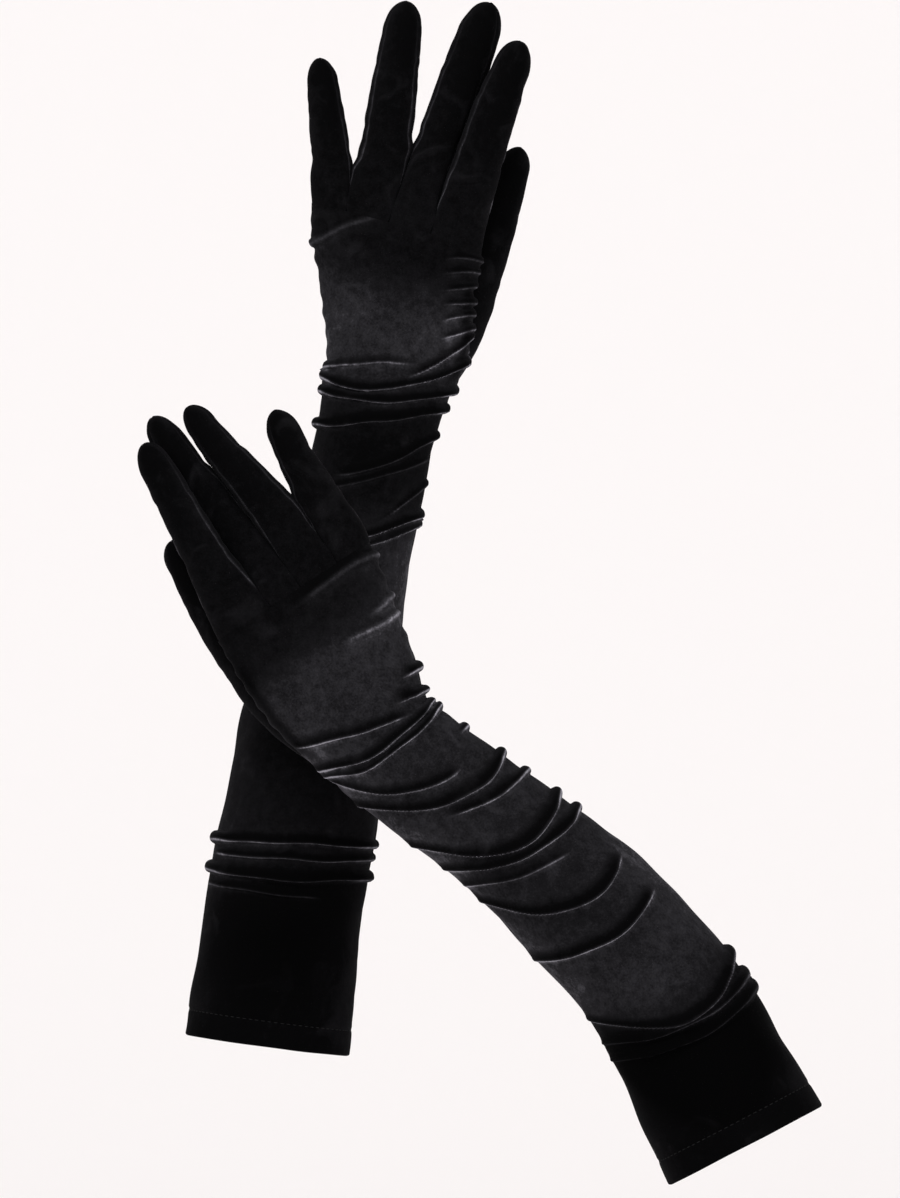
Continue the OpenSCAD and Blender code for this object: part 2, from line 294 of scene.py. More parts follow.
# Short puckers beside the left hand's thumb-side seam.
FOLDS["left"] += [(350 + 6.5 * k, 334 + 6.5 * k, 318, 306, 392, 1.2, 3.6) for k in range(6)]
# The fold where the dark upper sleeve ends and the painted sheen of the forearm begins.
SLEEVE_END = {"left": FOLDS["left"][2], "right": FOLDS["right"][2]}
# How much flatter the folds are on the thumb side, where the cloth is taut.
TAUT = {"left": 0.15, "right": 0.65}
# The most that a fold stands out beside the arm, as a share of its height and in millimetres.
KNOB_SHARE, KNOB_LIMIT = 1.75, 3.0
# Folds from here on are soft pulls of the hand, whose painted highlight lines are this much wider.
SOFT_FROM = {"left": 390, "right": 290}
SOFT_SPREAD = 2.4
# How far the hem arches up over the back of the arm.
HEM_ARCH = {"left": 1.0, "right": 2.4}
# Stretches that need close rows of points, because they carry folds.
FOLDED = {"left": [(62, 112), (228, 400)], "right": [(44, 400)]}


class Glove:
    """One glove's frame: its centre line, the way it faces and its joints."""

    def __init__(self, side, thumb_sign):
        self.side = side
        self.sign = thumb_sign
        self.hem = np.array(MOUNTS[side + "_arm_opening"]["pos_m"]) / MM
        self.elbow = np.array(JOINTS[side + "_elbow_bend"]["pos_m"]) / MM
        self.wrist = np.array(JOINTS[side + "_wrist_bend"]["pos_m"]) / MM
        axis = JOINTS[side + "_wrist_bend"]["axis"]
        self.sleeve_length = float(np.linalg.norm(self.elbow - self.hem))
        self.wrist_s = self.sleeve_length + float(np.linalg.norm(self.wrist - self.elbow))
        self.knuckle_s = self.wrist_s + KNUCKLES
        self.tilts = [
            math.atan2(*(self.elbow - self.hem)[[0, 2]]),
            math.atan2(*(self.wrist - self.elbow)[[0, 2]]),
            math.atan2(axis[2], -axis[0]),
        ]
        self._lay_centre_line()

    def _lay_centre_line(self):
        step = 0.5
        self.line_s = np.arange(-4.0, self.knuckle_s + 4.0, step)
        way = np.cumsum(self.heading(self.tilt(self.line_s)), axis=0) * step
        at_hem = np.argmin(abs(self.line_s))
        self.line = self.hem + way - way[at_hem]
        at_wrist = np.argmin(abs(self.line_s - self.wrist_s))
        drift = (self.wrist - self.line[at_wrist])[None, :]
        self.line = self.line + drift * smooth(self.line_s / self.wrist_s)[:, None]

    def tilt(self, s):
        elbow = smooth((s - self.sleeve_length + 28) / 56)
        wrist = smooth((s - self.wrist_s + 26) / 44)
        first, second, third = self.tilts
        return first + (second - first) * elbow + (third - second) * wrist

    def centre(self, s):
        return np.stack([np.interp(s, self.line_s, self.line[:, i]) for i in range(3)], axis=-1)

    def heading(self, tilt):
        """Unit vector along the arm, to the hand."""
        return np.stack([np.sin(tilt), np.zeros_like(tilt), np.cos(tilt)], axis=-1)

    def across(self, tilt):
        """Unit vector to the thumb side."""
        return self.sign * np.stack([np.cos(tilt), np.zeros_like(tilt), -np.sin(tilt)], axis=-1)

    def section(self, s):
        """Half width, offset, back depth, palm depth and squareness at s."""
        rows = ARM[self.side] + [(self.wrist_s + r[0],) + r[1:] for r in HAND[self.side]]
        return through(rows, s)

    def hand_point(self, u, v, y):
        """A point of the hand's own frame: u from the wrist, v to the thumb side, y to the palm."""
        tilt = self.tilts[2]
        up = np.array([math.sin(tilt), 0, math.cos(tilt)])
        side = self.across(np.array(tilt))
        outer = np.multiply.outer
        return self.wrist + outer(u, up) + outer(v, side) + outer(y, PALM)


GLOVES = [Glove("left", 1), Glove("right", -1)]


# -------- trunk surface

def angles_round():
    """Angles round the trunk in degrees, closest together at the two side seams."""
    near = np.array([0, 0.5, 1.0, 1.6, 2.3, 3.2, 4.4, 6.0, 8.0, 10.4])
    wide = np.linspace(near[-1], 180 - near[-1], 58)[1:-1]
    half = np.concatenate([near, wide, 180 - near[::-1]])
    return np.concatenate([half[:-1], half + 180])


ANGLES = angles_round()
SEAM_COLUMN = int(np.argmin(abs(ANGLES - 180)))


def superellipse(a, power):
    c, s = np.cos(np.radians(a)), np.sin(np.radians(a))
    return np.sign(c) * abs(c) ** (2 / power), np.sign(s) * abs(s) ** (2 / power)


def fold_line(fold, c):
    """The fold's s, for the cosine of the angle."""
    at_thumb, at_back, at_little = fold[:3]
    return at_back + (at_thumb - at_little) / 2 * c + ((at_thumb + at_little) / 2 - at_back) * c**2


def fold_relief(side, s, a):
    """Height of the folds, their slump to the hem, and the painted light and painted shade that go with
    them.
    """
    shape = np.broadcast(s, a).shape
    out, slump, light, dark = (np.zeros(shape) for _ in range(4))
    c, d = np.cos(np.radians(a)), np.sin(np.radians(a))
    taut = 1 - TAUT[side] * smooth((c - 0.45) / 0.5)
    beside_arm = smooth((abs(c) - 0.72) / 0.2) * np.where(c > 0, 1 - TAUT[side], 1)
    for i, fold in enumerate(FOLDS[side]):
        first, last, height, width = fold[3:]
        wander = 0.4 * np.sin(3.1 * c + 2.3 * i) + 0.3 * np.sin(7.3 * c + 1.7 * i) + 0.5 * (d + 1)
        past_line = s - (fold_line(fold, c) + wander)
        turned = degrees_from(a, (first + last) / 2)
        window = smooth(((last - first) / 2 - abs(turned)) / 34 + 0.35)
        size = height * window * (1 + 0.22 * np.sin(4.7 * c + i)) * taut
        tall = np.minimum(KNOB_SHARE * size, KNOB_LIMIT)
        size = size * (1 - beside_arm) + tall * beside_arm
        # a steep face to the hem and a long back, but a round knob beside the arm
        q = past_line / (width * (1 - 0.3 * beside_arm))
        roll = smooth((q + 0.1) / 0.28) * (1 - smooth((q - 0.16) / 1.2))
        knob = np.sqrt(np.maximum(0, 1 - (past_line / (1.0 + 0.6 * tall) - 0.45) ** 2))
        roll = roll * (1 - beside_arm) + knob * beside_arm
        out += size * roll
        slump += size * roll * (1 - smooth(q / 1.1)) * (1 - 0.9 * beside_arm)
        # painted highlight: a thin light line on the crest and a faint wide one before it; painted shade:
        # a dark hollow behind it
        strength = smooth(window * 1.4) * min(1.0, 0.1 + height / 2)
        mm = past_line / (SOFT_SPREAD if fold[1] > SOFT_FROM[side] else 1)
        light = np.maximum(light, strength * bell(mm - 0.3, 0.62))
        light = np.maximum(light, 0.25 * strength * bell(mm + 0.7, 1.3))
        dark = np.maximum(dark, strength * smooth((q - 0.14) / 0.2) * (1 - smooth((q - 0.35) / 0.9)))
    return out, slump, light, dark


def trunk_surface(glove, s_values):
    """The glove's outer surface over s_values and all ANGLES, as a grid of points."""
    s = s_values[:, None]
    a = ANGLES[None, :]
    w, offset, back, palm, power = [c[:, None] for c in glove.section(s_values).T]
    ex, ey = superellipse(a, power)
    depth = np.where(ey < 0, back, palm)
    tilt = glove.tilt(s_values)
    side = glove.across(tilt)[:, None, :]
    along = glove.heading(tilt)[:, None, :]
    points = glove.centre(s_values)[:, None, :] + (offset + w * ex)[..., None] * side
    points = points + (depth * ey)[..., None] * PALM
    normals = grid_normals(points, closed=True) * glove.sign

    u = s - glove.wrist_s
    round_mm = np.radians(a) * w
    out, slump, _, _ = fold_relief(glove.side, s, a)
    # broad, soft unevenness of cloth over an arm
    out = out + 0.35 * waves(11 + glove.sign, 9, 60, 22)(s + 0 * a, round_mm)
    # the palm is hollow between the ball of the thumb and the heel of the hand
    hollow = bell(u - 45, 24) * bell(a - 95, 32)
    heel = bell(u - 26, 20) * bell(a - 140, 22)
    out = out - 3.2 * hollow + 1.8 * heel
    # side seams: a narrow groove with small puckers beside it
    pucker = waves(31 + glove.sign, 7, 16, 5)(s, 0 * s)
    for seam in (0.0, 180.0, 360.0):
        near = abs(np.radians(a - seam)) * w * 0.9
        out = out - 0.8 * bell(near, 0.9)
        out = out + 0.55 * pucker * np.exp(-near / 5.0) * smooth(u / 20 + 1.2)
    # the hem's stitching pulls the cloth in
    stitched = 1 + 0.25 * np.sin(round_mm * 2 * math.pi / STITCH_PITCH)
    out = out - 0.5 * bell(s - HEM_DEPTH, 0.8) * stitched
    # the last millimetres before the fingers are plain, so that the fingers can join on
    plain = smooth((KNUCKLES - u) / 4)
    rise = HEM_ARCH[glove.side] * np.maximum(0, -ey) * smooth(1 - s / 60)
    points = points + rise[..., None] * along
    shift = (out * plain)[..., None] * normals - (0.6 * slump * plain)[..., None] * along
    return points + shift


# -------- meshes

def cloth_piece(name, points, shade, closed, turn, thickness=CLOTH):
    """A cloth panel with thickness from a grid of points in millimetres. turn is the way its grid winds.

    The inner face keeps only every fourth row of points.
    """
    normals = grid_normals(points, closed) * turn
    if np.ptp(points[-1], axis=0).max() < 0.01:
        normals[-1] = normals[-2].mean(axis=0) / np.linalg.norm(normals[-2].mean(axis=0))
    rows, columns = points.shape[:2]
    kept = sorted(set(range(0, rows, 4)) | {rows - 1})
    inner = (points - normals * thickness)[kept]
    vertices = np.concatenate([points.reshape(-1, 3), inner.reshape(-1, 3)])
    front = np.arange(rows * columns).reshape(rows, columns)
    behind = np.arange(len(kept) * columns).reshape(-1, columns) + rows * columns
    if closed:
        front = np.concatenate([front, front[:, :1]], axis=1)
        behind = np.concatenate([behind, behind[:, :1]], axis=1)
    faces = []
    for index in (front, behind):
        faces += grid_quads(index).tolist()
    for end in (0, -1):
        rim = np.stack([front[end, :-1], front[end, 1:], behind[end, 1:], behind[end, :-1]], axis=-1)
        faces += rim.tolist()
    if not closed:
        for edge in (0, -1):
            for j, (low, high) in enumerate(zip(kept, kept[1:])):
                outer_edge = front[low:high + 1, edge].tolist()
                faces.append(outer_edge + [int(behind[j + 1, edge]), int(behind[j, edge])])
    shade = np.broadcast_to(shade, (rows, columns))
    shade = np.concatenate([shade.reshape(-1), shade[kept].reshape(-1)])
    return velvet_piece(name, vertices, faces, shade)


def velvet_piece(name, vertices, faces, shade):
    """A piece from vertices in millimetres, faces and the pile's tone with its painted sheen and shade at
    each vertex.
    """
    mesh = bpy.data.meshes.new(name)
    mesh.from_pydata((vertices * MM).tolist(), [], faces)
    # the pile's tone with its painted sheen and shade, one value at each vertex
    layer = mesh.attributes.new("tone_sheen_and_shade", "FLOAT", "POINT")
    layer.data.foreach_set("value", np.asarray(shade, np.float32))
    return finish_mesh(name, mesh, VELVET)


def finish_mesh(name, mesh, material):
    """A piece with its points joined where they coincide, shaded smooth between sharp edges."""
    sharp_degrees = 70
    shape = bmesh.new()
    shape.from_mesh(mesh)
    bmesh.ops.remove_doubles(shape, verts=shape.verts, dist=0.00002)
    bmesh.ops.recalc_face_normals(shape, faces=shape.faces)
    shape.to_mesh(mesh)
    shape.free()
    mesh.shade_smooth()
    mesh.set_sharp_from_angle(angle=math.radians(sharp_degrees))
    mesh.materials.append(material)
    piece = bpy.data.objects.new(name, mesh)
    bpy.context.scene.collection.objects.link(piece)
    return piece


# -------- materials

class Shading:
    """A material with a Principled shader and short ways to add nodes to it."""

    def __init__(self, name, roughness, specular):
        self.material = bpy.data.materials.new(name)
        self.material.use_nodes = True
        self.nodes = self.material.node_tree.nodes
        self.links = self.material.node_tree.links
        self.shader = self.nodes["Principled BSDF"]
        self.shader.inputs["Roughness"].default_value = roughness
        self.shader.inputs["Specular IOR Level"].default_value = specular
        self.place = self.nodes.new("ShaderNodeTexCoord").outputs["Object"]

    def texture(self, kind, scale, **settings):
        """A texture over the object's own coordinates."""
        node = self.nodes.new(kind)
        node.inputs["Scale"].default_value = scale
        for socket, value in settings.items():
            node.inputs[socket].default_value = value
        self.links.new(self.place, node.inputs["Vector"])
        return node.outputs["Fac"]

    def maths(self, operation, first, second, clamp=False):
        """A maths node over two sockets or numbers."""
        node = self.nodes.new("ShaderNodeMath")
        node.operation = operation
        node.use_clamp = clamp
        for socket, value in zip(node.inputs, (first, second)):
            if isinstance(value, (int, float)):
                socket.default_value = value
            else:
                self.links.new(value, socket)
        return node.outputs["Value"]

    def colour(self, value, stops):
        """The base colour runs through the stops, each a position and a colour, as value grows."""
        ramp = self.nodes.new("ShaderNodeValToRGB")
        for i, (position, colour) in enumerate(stops):
            elements = ramp.color_ramp.elements
            element = elements[i] if i < 2 else elements.new(position)
            element.position = position
            element.color = (*colour, 1)
        self.links.new(value, ramp.inputs["Fac"])
        self.links.new(ramp.outputs["Color"], self.shader.inputs["Base Color"])

    def bump(self, height, strength, distance):
        node = self.nodes.new("ShaderNodeBump")
        node.inputs["Strength"].default_value = strength
        node.inputs["Distance"].default_value = distance
        self.links.new(height, node.inputs["Height"])
        self.links.new(node.outputs["Normal"], self.shader.inputs["Normal"])


# Base colour of the velvet as its tone and painted light grow, from the darkest painted hollow to the
# brightest painted crest.
PILE_LEVELS = ((0.0, 0.0005), (0.12, 0.0011), (0.30, 0.0048), (0.50, 0.0140), (0.72, 0.052), (1.0, 0.19))


def velvet(name, tint, sheen):
    """Dense black pile: fine grain, brushed patches, and painted sheen and shade, lighter at grazing
    angles.
    """
    shading = Shading(name, roughness=0.85, specular=0.008)
    shading.shader.inputs["Sheen Weight"].default_value = sheen
    shading.shader.inputs["Sheen Roughness"].default_value = 0.25
    shading.shader.inputs["Sheen Tint"].default_value = (0.62, 0.62, 0.66, 1)
    maths = shading.maths
    patches = shading.texture("ShaderNodeTexNoise", 26, Detail=5)
    mottle = shading.texture("ShaderNodeTexNoise", 260, Detail=4)
    grain = shading.texture("ShaderNodeTexNoise", 1000, Detail=3)
    smear = shading.texture("ShaderNodeTexNoise", 48, Detail=6, Distortion=1.2)
    tone_sheen_and_shade = shading.nodes.new("ShaderNodeAttribute")
    tone_sheen_and_shade.attribute_name = "tone_sheen_and_shade"
    edge = shading.nodes.new("ShaderNodeLayerWeight")
    edge.inputs["Blend"].default_value = 0.5

    def stray(noise, strength):
        """How far a noise strays from its middle."""
        return maths("MULTIPLY", maths("SUBTRACT", noise, 0.5), strength)

    coarse = maths("ADD", stray(patches, 0.8), stray(mottle, 0.8))
    unevenness = maths("ADD", coarse, maths("ADD", stray(grain, 0.75), 1.0))
    stroked = maths("MULTIPLY", maths("MAXIMUM", maths("SUBTRACT", smear, 0.57), 0.0), 0.6)
    # the pile's tone with its painted sheen and shade, made uneven by the noises, with random smears
    # added
    pile_with_painted_light = maths("ADD", maths("MULTIPLY", tone_sheen_and_shade.outputs["Fac"], unevenness), stroked)
    # painted sheen: the base colour grows lighter where the surface turns away from the view
    turned = maths("MULTIPLY", maths("POWER", edge.outputs["Facing"], 1.5), 0.19)
    total = maths("ADD", pile_with_painted_light, turned, clamp=True)
    shading.colour(total, [(at, [level * share for share in tint]) for at, level in PILE_LEVELS])
    shading.bump(grain, 0.5, 0.0003)
    return shading.material


def plain_thread(name, colour, roughness):
    """Twisted polyester thread: fine diagonal ply lines."""
    shading = Shading(name, roughness, specular=0.12)
    ply = shading.texture("ShaderNodeTexWave", 900, Distortion=1.5)
    shading.colour(ply, [(0.0, [share * 0.5 for share in colour]), (1.0, colour)])
    shading.bump(ply, 0.6, 0.0001)
    return shading.material


VELVET = velvet("black_velvet", (1.0, 0.97, 1.10), 0.008)
THREAD = plain_thread("black_thread", (0.003, 0.003, 0.0033), 0.8)


# -------- the pile's tone, with painted sheen and painted shade

# Lightness along the trunk: distance from the hem in millimetres, at the thumb side, at the middle of the
# back and at the little-finger side. 0 is the deepest black and 1 the brightest silver.
# Over the pile's own near-black these levels are painted sheen and shade: lighter forearms and hand backs
# where the pile catches the light, and painted shadow of the other hand on the left forearm's little
# side.
PILE_TONE_AND_PAINTED_LIGHT = {
    "left": [
        (0, 0.15, 0.05, 0.18), (70, 0.13, 0.05, 0.14), (82, 0.14, 0.12, 0.20), (92, 0.18, 0.22, 0.26),
        (110, 0.20, 0.20, 0.22), (150, 0.18, 0.12, 0.18), (190, 0.38, 0.22, 0.20),
        (245, 0.38, 0.28, 0.24), (262, 0.22, 0.18, 0.24), (300, 0.20, 0.18, 0.26),
        (318, 0.34, 0.33, 0.38), (345, 0.42, 0.42, 0.38), (358, 0.30, 0.31, 0.34),
        (368, 0.22, 0.21, 0.22), (378, 0.17, 0.15, 0.18), (389, 0.16, 0.15, 0.16),
    ],
    "right": [
        (0, 0.10, 0.05, 0.20), (62, 0.10, 0.05, 0.14), (69, 0.26, 0.22, 0.22), (78, 0.36, 0.30, 0.34),
        (110, 0.47, 0.31, 0.38), (140, 0.48, 0.28, 0.40), (165, 0.47, 0.27, 0.32),
        (205, 0.52, 0.32, 0.34), (250, 0.46, 0.36, 0.32), (285, 0.46, 0.38, 0.40),
        (298, 0.38, 0.36, 0.42), (308, 0.20, 0.22, 0.33), (318, 0.14, 0.17, 0.27),
        (331, 0.14, 0.13, 0.20),
    ],
}
# Lightness of the hem and of the seam allowances.
HEM_NAP, ALLOWANCE_NAP = 0.08, 0.3


def trunk_tone_and_painted_light(glove, s_values):
    """Painted sheen and shade over s_values and ANGLES, with the painted light and dark lines of the
    folds.
    """
    s = s_values[:, None]
    c = np.cos(np.radians(ANGLES))[None, :]
    end = SLEEVE_END[glove.side]
    level = s - (fold_line(end, c) - end[1]) * (1 - smooth((s - end[1] - 20) / 70))
    thumb, back, little = through(PILE_TONE_AND_PAINTED_LIGHT[glove.side], level.ravel()).T.reshape(3, *level.shape)
    base = back + np.where(c > 0, (thumb - back) * c**2, (little - back) * c**2)
    _, _, light, dark = fold_relief(glove.side, s, ANGLES[None, :])
    w = glove.section(s_values)[:, :1]
    u = s - glove.wrist_s
    # painted highlight: the broken light line of the thumb-side seam
    seam = bell(np.radians(np.minimum(ANGLES, 360 - ANGLES))[None, :] * w, 0.9)
    seam = seam * smooth((u + 20) / 25) * (1.2 + np.sin(1.7 * s + 2 * np.sin(0.63 * s)))
    # painted shade in the hollow beside the base of the thumb
    hollow = bell(c - 0.92, 0.09) * smooth((u - 4) / 12) * smooth((66 - u) / 16)
    base = base * (1 - 0.6 * hollow)
    # painted shade darkens behind each fold crest; painted highlights lighten the crests and the
    # thumb-side seam
    return base * (1 - 0.78 * dark) + (0.34 + 0.75 * base) * light * 1.15 + 0.25 * seam


# -------- the trunk's pieces

def stations(glove, first, last):
    """Places from first to last, close together where the cloth is folded."""
    places = [first]
    while places[-1] < last:
        folded = any(low <= places[-1] <= high for low, high in FOLDED[glove.side])
        places.append(places[-1] + (0.5 if folded else 1.6))
    places = np.array(places)
    return first + (places - first) * (last - first) / (places[-1] - first)


def trunk_stretch(glove, first, last):
    """One stretch of the trunk between two places."""
    s = stations(glove, first, last)
    margin = 2.0
    padded = np.concatenate([[first - margin], s, [last + margin]])
    return s, trunk_surface(glove, padded)[1:-1]


BACK = slice(SEAM_COLUMN, len(ANGLES))
UNDER = slice(0, SEAM_COLUMN + 1)


def arm_stretch(glove, first, last, body, back, under):
    """A back and an under panel over one stretch, riding on one body."""
    s, grid = trunk_stretch(glove, first, last)
    tone_sheen_and_shade = trunk_tone_and_painted_light(glove, s)
    for label, columns in ((back, BACK), (under, UNDER)):
        node = f"{glove.side}_{label}"
        panel = grid[:, columns]
        piece = cloth_piece("velvet_" + node, panel, tone_sheen_and_shade[:, columns], False, glove.sign)
        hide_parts(node)
        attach(piece, f"{glove.side}_{body}")


def gathered_stretch(glove, label, first, last):
    """A ring of gathered cloth between two stretches of the trunk."""
    s, grid = trunk_stretch(glove, first, last)
    node = f"{glove.side}_{label}"
    tone_sheen_and_shade = trunk_tone_and_painted_light(glove, s)[:, :-1]
    piece = cloth_piece("velvet_" + node, grid[:, :-1], tone_sheen_and_shade, True, glove.sign)
    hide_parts(node)
    ends = glove.centre(np.array([first + 1.5, last - 1.5])) * MM
    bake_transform(piece)


def make_hem(glove):
    """The turned-in edge: a double layer whose fold is the edge of the glove."""
    turn = HEM_THICK / 2
    s = np.linspace(turn, HEM_DEPTH, 14)
    surface = trunk_surface(glove, np.concatenate([[turn - 1], s, [HEM_DEPTH + 2]]))[1:-1]
    normals = grid_normals(surface, closed=True) * glove.sign
    tilt = glove.tilt(np.array([0.0]))[0]
    along = np.array([math.sin(tilt), 0, math.cos(tilt)])
    rows = list(surface[::-1])
    for degrees in range(20, 180, 20):
        t = math.radians(degrees)
        rows.append(surface[0] - normals[0] * turn * (1 - math.cos(t)) - along * turn * math.sin(t))
    rows += list(surface - normals * HEM_THICK)
    points = np.array(rows)[:, :-1]
    count, columns = points.shape[:2]
    index = np.arange(count * columns).reshape(count, columns)
    index = np.concatenate([index, index[:, :1]], axis=1)
    index = np.concatenate([index, index[:1]], axis=0)
    node = f"{glove.side}_hem_fold"
    shade = np.full(count * columns, HEM_NAP)
    piece = velvet_piece("velvet_" + node, points.reshape(-1, 3), grid_quads(index).tolist(), shade)
    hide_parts(node)
    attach(piece, f"{glove.side}_upper")
    return piece


def make_hem_stitches(glove):
    """Short thread stitches in the groove at the top of the hem."""
    groove = trunk_surface(glove, np.array([HEM_DEPTH - 1, HEM_DEPTH, HEM_DEPTH + 1]))
    normals = (grid_normals(groove, closed=True) * glove.sign)[1]
    ring = groove[1]
    length = np.concatenate([[0], np.cumsum(np.linalg.norm(np.diff(ring, axis=0), axis=1))])

    def read(values, at):
        """Values along the ring, read at a length along it."""
        return np.array([np.interp(at, length, values[:, i]) for i in range(3)])

    sides = 6
    count = int(length[-1] / STITCH_PITCH)
    shape = bmesh.new()
    for k in range(count):
        start = k * length[-1] / count
        rows = []
        for t in np.linspace(0, 1, 7):
            at = start + t * STITCH_LENGTH
            middle, out = read(ring, at), read(normals, at)
            ahead = read(ring, at + 0.2) - middle
            ahead /= np.linalg.norm(ahead) + 1e-9
            other = np.cross(out, ahead)
            thick = THREAD_RADIUS * math.sqrt(max(0.02, 1 - (2 * t - 1) ** 4))
            middle = middle + out * (0.3 * math.sin(math.pi * t) - 0.12)
            rows.append([
                shape.verts.new((middle + thick * (math.cos(p) * out + math.sin(p) * other)) * MM)
                for p in np.linspace(0, 2 * math.pi, sides + 1)[:-1]
            ])
        for one, two in zip(rows, rows[1:]):
            for i in range(sides):
                after = (i + 1) % sides
                shape.faces.new([one[i], one[after], two[after], two[i]])
        shape.faces.new(rows[0][::-1])
        shape.faces.new(rows[-1])
    node = f"{glove.side}_hem_stitch"
    mesh = bpy.data.meshes.new("thread_" + node)
    shape.to_mesh(mesh)
    shape.free()
    piece = finish_mesh("thread_" + node, mesh, THREAD)
    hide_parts(node)
    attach(piece, f"{glove.side}_upper")
    return piece


def make_seams(glove, part, first, last, body):
    """The sewn allowances inside both side seams of a stretch: two cut edges standing inwards."""
    s = np.linspace(first + 0.5, last - 0.5, int((last - first) / 3) + 2)
    grid = trunk_surface(glove, np.concatenate([[first - 1], s, [last + 1]]))[1:-1]
    strips = []
    for column, inward in ((0, -1), (SEAM_COLUMN, 1)):
        edge = grid[:, column]
        way = glove.across(glove.tilt(s)) * inward
        ripple = 0.5 * np.sin(s / 4.3)[:, None] * PALM
        for half in (-1, 1):
            lines = [
                edge + way * (CLOTH + t * ALLOWANCE) + PALM * half * (0.25 + 0.5 * t) + ripple * t
                for t in (0, 0.35, 0.7, 1)
            ]
            strips.append(np.stack(lines, axis=1))
    vertices, faces, base = [], [], 0
    for strip in strips:
        rows, columns = strip.shape[:2]
        behind = strip - grid_normals(strip, closed=False) * ALLOWANCE_THICK
        vertices += [strip.reshape(-1, 3), behind.reshape(-1, 3)]
        index = np.arange(rows * columns).reshape(rows, columns) + base
        quads = grid_quads(index)
        shift = rows * columns
        faces += quads.tolist() + (quads[:, ::-1] + shift).tolist()
        loop = np.concatenate([index[0, :-1], index[:-1, -1], index[-1, :0:-1], index[:0:-1, 0]])
        for i, j in zip(loop, np.roll(loop, -1)):
            faces.append([int(j), int(i), int(i) + shift, int(j) + shift])
        base += 2 * shift
    node = f"{glove.side}_{part}_seams"
    shade = np.full(base, ALLOWANCE_NAP)
    piece = velvet_piece("cloth_" + node, np.concatenate(vertices), faces, shade)
    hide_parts(node)
    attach(piece, f"{glove.side}_{body}")
    return piece


# -------- fingers

FINGER_ANGLES = np.arange(0, 360, 4.0)
# The rings of a rounded tip, in degrees from its start to its point.
CAP = np.array([8, 16, 24, 32, 40, 48, 56, 64, 71, 78, 84])
# How far neighbouring fingers press into each other below their crotch.
PRESS = 0.9


def knuckle_slice(glove, centre, half, open_side, corner):
    """A finger's share of the knuckle section: across as a share of half, and depth to the palm."""
    w, offset, back, palm, power = glove.section(np.array([glove.knuckle_s]))[0]
    low, high = np.zeros(len(FINGER_ANGLES)), np.full(len(FINGER_ANGLES), 60.0)
    c, s = np.cos(np.radians(FINGER_ANGLES)), np.sin(np.radians(FINGER_ANGLES))
    for _ in range(26):
        reach = (low + high) / 2
        v, y = centre + reach * c, reach * s
        depth = np.where(y < 0, back, palm)
        hand = (abs((v - offset) / w) ** power + abs(y / depth) ** power) ** (1 / power)
        wall = np.where(c * open_side > 0, 0, abs(reach * c / half))
        inside = hand**corner + wall**corner < 1
        low, high = np.where(inside, reach, low), np.where(inside, high, reach)
    return low * c / half, low * s


def side_bounds(glove, finger, u, axis, half_width):
    """How far a finger reaches to the thumb side and to the other at u, and how round each side is."""
    w, offset = glove.section(np.array([glove.knuckle_s]))[0][:2]
    before = glove.section(np.array([glove.knuckle_s - 4]))[0][:2]
    position = FINGERS.index(finger)
    bounds, roundness = [], []
    for way, gap in ((1, position - 1), (-1, position)):
        if 0 <= gap < 3:
            at_knuckle, crotch, at_crotch = PARTINGS[glove.side][gap]
            line = at_knuckle + (at_crotch - at_knuckle) * (u - KNUCKLES) / (crotch - KNUCKLES)
            own = smooth((u - crotch) / 9)
            # below the parting the fingers press against each other
            line += way * PRESS * smooth((u - KNUCKLES - 1) / 6)
            roundness.append(smooth((u - KNUCKLES) / (crotch + 14 - KNUCKLES)))
        else:
            slope = ((offset + way * w) - (before[1] + way * before[0])) / 4
            line = offset + way * w + slope * (u - KNUCKLES)
            own = smooth((u - KNUCKLES) / 24)
            roundness.append(smooth((u - KNUCKLES) / 30))
        bounds.append(line * (1 - own) + (axis + way * half_width) * own)
    return bounds, roundness


def limb_axes(slant):
    """Unit vectors along a finger, to its thumb side and to its palm side, from its slant."""
    heading = np.array([1, slant[0], slant[1]]) / math.sqrt(1 + slant @ slant)
    side = np.array([-slant[0], 1, 0]) / math.hypot(1, slant[0])
    return heading, side, np.cross(heading, side)


def limb_ring(middle, ring, axes, past_tip_start, reach):
    """A ring of points round middle, moved on and drawn in where it belongs to the rounded tip."""
    heading, side, palm = axes
    if past_tip_start > 0:
        middle = middle + heading * past_tip_start
        ring = ring * math.sqrt(1 - (past_tip_start / reach) ** 2)
    return middle + np.multiply.outer(ring[0], side) + np.multiply.outer(ring[1], palm)


